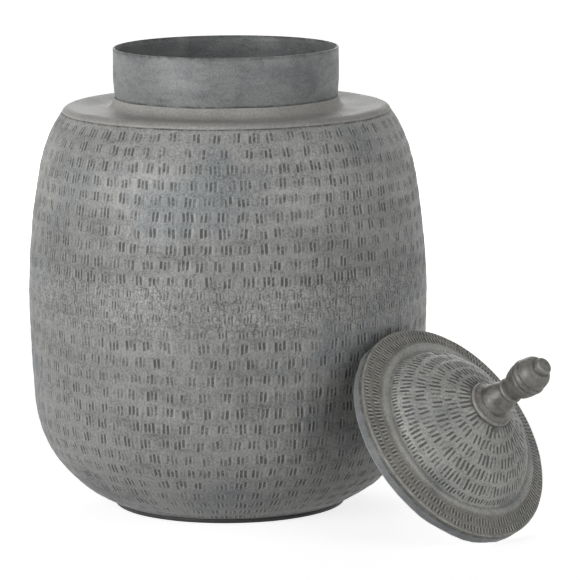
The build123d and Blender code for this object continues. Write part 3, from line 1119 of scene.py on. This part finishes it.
class JAR_OT_lid(bpy.types.Operator):
    """Make the lid's hammered cover and the dented band below its edge"""

    bl_idname = "jar.lid"
    bl_label = "Hammered lid"

    columns = 840       # 168, 140, 120 and fewer groups of columns round the lid
    long_step = 0.003   # between points of the CAD outline: only the flange and the dome have such

    def spread(self, start, end, count, length, width, pitch, strength, sparse):
        """Rows spread evenly between two distances."""
        each = (end - start) / count
        return [Row(start + (i + 0.5) * each, length, width, pitch, (each - length) / 2, strength=strength,
                    sparse=sparse) for i in range(count)]

    def rows(self, outline, marks):
        """One row on the edge, one on the flange, one round the dome's foot and the rest up to the knob."""
        distances = outline.distances
        radii, heights = outline.points.T
        climbs = np.diff(heights) > 0
        crest = int(np.argmax(~climbs[1:])) + 1
        valley = crest + int(np.argmax(climbs[crest:]))
        flange = [i for i in range(crest) if np.diff(distances)[i] > self.long_step]
        knob_radius = max(radius for radius, height in corners_of(("finial",), lid_place()))
        edge, ring_end = distances[flange[0]], distances[flange[-1] + 1]
        foot = distances[valley] + marks.foot_margin
        foot_end = foot + marks.foot_mark + marks.foot_margin
        edge_row = (marks.edge_mark, marks.mark_width, marks.flange_pitch, marks.flange_strength,
                    marks.sparse)
        flange_row = (marks.flange_mark, *edge_row[1:])
        foot_row = (marks.foot_mark, marks.mark_width, marks.foot_pitch, marks.foot_strength, marks.sparse)
        dome_row = (marks.dome_mark, marks.dome_width, marks.dome_pitch, marks.dome_strength, marks.sparse)
        rows = [
            *self.spread(edge, edge + marks.edge_mark + 2 * marks.edge_margin, 1, *edge_row),
            *self.spread(ring_end - marks.flange_mark - 2 * marks.flange_margin, ring_end, 1, *flange_row),
            *self.spread(foot, foot_end, 1, *foot_row),
            *self.spread(foot_end, np.interp(-knob_radius, -radii, distances), marks.dome_rows, *dome_row),
        ]
        return rows, radii[crest], radii[flange[-1] + 1]

    def execute(self, context):
        jar = context.scene.jar
        place, heart = lid_place(), jar.plain.lid_heart
        rows, bead_radius, flange_radius = self.rows(outer_face("lid_cover", place, heart), jar.lid)
        zinc = metal("Hammered lid zinc", "lid", "zinc_blue", streak=1, speckle=0.34, shift=39, lip="lid_lip",
                     outer=("flange_tint", bead_radius, flange_radius))
        # The lid's cover gets dirt and painted shade where it meets the knob and the band, and rubbed metal
        # and painted highlights on its bent edges, its outer edge among them
        Piece("lid_cover", "hammered_lid_cover", "lid", "lid_sheet", zinc, place, self.columns, jar.lid,
              heart, ("finial", "lid_rim_band"), thin=2, step=0.01, worn_turn=0.66).make(rows)
        band = metal("Dented band zinc", "band", patch_size=0.02, streak=1, speckle=0.22, bump=0.5)
        # The band gets dirt and painted shade where it meets the lid's cover
        Piece("lid_rim_band", "dented_lid_band", "lid", "lid_sheet", band, place, self.columns, jar.plain,
              jar.plain.band_heart, ("lid_cover",), still_reach=1e-9, step=0.0012, kind="band_").make()
        return {"FINISHED"}


class JAR_OT_knob(bpy.types.Operator):
    """Make the cast knob and dress its fasteners"""

    bl_idname = "jar.knob"
    bl_label = "Knob and fasteners"

    columns = 144

    def execute(self, context):
        plain = context.scene.jar.plain
        cast = metal("Cast knob metal", "knob", patch_size=0.007, streak=1, contrast=0.4, speckle=0.1,
                     dullness=0.46, metallic=0.22, bump=0.12)
        # The knob's hollows and its joint with the lid get dirt and painted shade, its bent edges rubbed
        # metal and painted highlights
        Piece("finial", "cast_knob", "lid", "cast_knob", cast, lid_place(), self.columns, plain,
              plain.knob_heart, ("lid_cover",), still_reach=0.002, step=0.001, hollow_turn=0.34,
              worn_turn=0.8, kind="cast_").make()
        steel = metal("Plated steel", "steel", patch_size=0.006, streak=1, speckle=0.1, metallic=0.9)
        dress(("finial_stud", "lid_washer", "lid_nut"), steel)
        return {"FINISHED"}


class JAR_OT_stage(bpy.types.Operator):
    """Make the floor, the lights and the camera"""

    bl_idname = "jar.stage"
    bl_label = "Stage"

    def seen(self, board):
        """1 for what the camera sees, also in a reflection or through glass, and 0 for what gives light."""
        rays = board.fill_named(board.add("ShaderNodeLightPath"))
        seen = board.calc("MAXIMUM", rays["Is Camera Ray"], rays["Is Glossy Ray"])
        return board.calc("MAXIMUM", seen, rays["Is Transmission Ray"])

    def floor(self, stage):
        half = stage.floor_size / 2
        mesh = bpy.data.meshes.new("floor")
        corners = [(x * half, y * half, 0) for x, y in ((-1, -1), (1, -1), (1, 1), (-1, 1))]
        mesh.from_pydata(corners, [], [(0, 1, 2, 3)])
        material, board = with_nodes(bpy.data.materials.new("Pale floor"))
        lift = board.span(board.vector("LENGTH", board.object_spot()), stage.near, stage.far, stage.near_lift,
                          stage.far_lift)
        board.fill_named(material.node_tree.nodes["Principled BSDF"], Base_Color=stage.floor_colour,
                         Roughness=stage.floor_dullness, Emission_Color=lift,
                         Emission_Strength=self.seen(board))
        mesh.materials.append(material)
        shown("floor", mesh)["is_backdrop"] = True

    def world(self, stage):
        world, board = with_nodes(bpy.data.worlds.new("Soft daylight"))
        bpy.context.scene.world = world
        board.fill_named(world.node_tree.nodes["Background"], Color=(1, 1, 1, 1),
                         Strength=board.blend(self.seen(board), stage.sky, 1))

    def light(self, name, stage, target):
        place = Vector(getattr(stage, name + "_place"))
        light = bpy.data.lights.new(name, "AREA")
        light.energy = getattr(stage, name + "_power")
        light.size = stage.lamp_size
        lamp = shown(name, light)
        lamp.location = place
        lamp.rotation_mode = "QUATERNION"
        lamp.rotation_quaternion = (target - place).to_track_quat("-Z", "Y")

    def camera(self, stage):
        pitch, yaw, roll = stage.camera_pitch, stage.camera_yaw, stage.camera_roll
        forward = Vector((math.sin(yaw) * math.cos(pitch), math.cos(yaw) * math.cos(pitch), -math.sin(pitch)))
        level = Vector((math.cos(yaw), -math.sin(yaw), 0))
        right = level * math.cos(roll) + level.cross(forward) * math.sin(roll)
        turn = Matrix((right, right.cross(forward), -forward)).transposed()
        spot = Vector((stage.camera_side, -stage.camera_distance, stage.camera_height))
        camera = shown("camera", bpy.data.cameras.new("camera"))
        camera.matrix_world = Matrix.Translation(spot) @ turn.to_4x4()
        camera.data.lens = stage.lens
        camera.data.clip_end = stage.floor_size
        bpy.context.scene.camera = camera

    def execute(self, context):
        stage = context.scene.jar.stage
        self.floor(stage)
        self.world(stage)
        low, high = model_box
        for name in ("key", "fill", "low", "back", "left"):
            self.light(name, stage, (low + high) / 2)
        self.camera(stage)
        context.scene.view_settings.view_transform = "Standard"
        return {"FINISHED"}


class JAR_PT_panel(bpy.types.Panel):
    """Lists the jar's operators and settings"""

    bl_label = "Hammered jar"
    bl_space_type = "VIEW_3D"
    bl_region_type = "UI"
    bl_category = "Jar"

    def draw(self, context):
        for operator in operators:
            self.layout.operator(operator.bl_idname)
        for name in ("belly", "lid", "plain", "finishes", "stage"):
            group = getattr(context.scene.jar, name)
            box = self.layout.box()
            box.label(text=name.capitalize())
            for key in group.bl_rna.properties.keys()[2:]:
                box.prop(group, key)


operators = (JAR_OT_belly, JAR_OT_neck, JAR_OT_foot, JAR_OT_lid, JAR_OT_knob, JAR_OT_stage)
classes = (BellyMarks, LidMarks, PlainSheets, Finishes, Stage, JarSettings, *operators, JAR_PT_panel)


def register():
    for cls in classes:
        bpy.utils.register_class(cls)
    bpy.types.Scene.jar = PointerProperty(type=JarSettings)


def unregister():
    del bpy.types.Scene.jar
    for cls in reversed(classes):
        bpy.utils.unregister_class(cls)


def main():
    register()
    for operator in operators:
        group, name = operator.bl_idname.split(".")
        getattr(getattr(bpy.ops, group), name)()
    boxes = {"cad": model_box, "visual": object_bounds()}
    {name: [list(corner) for corner in box] for name, box in boxes.items()}


if __name__ == "__main__":
    main()
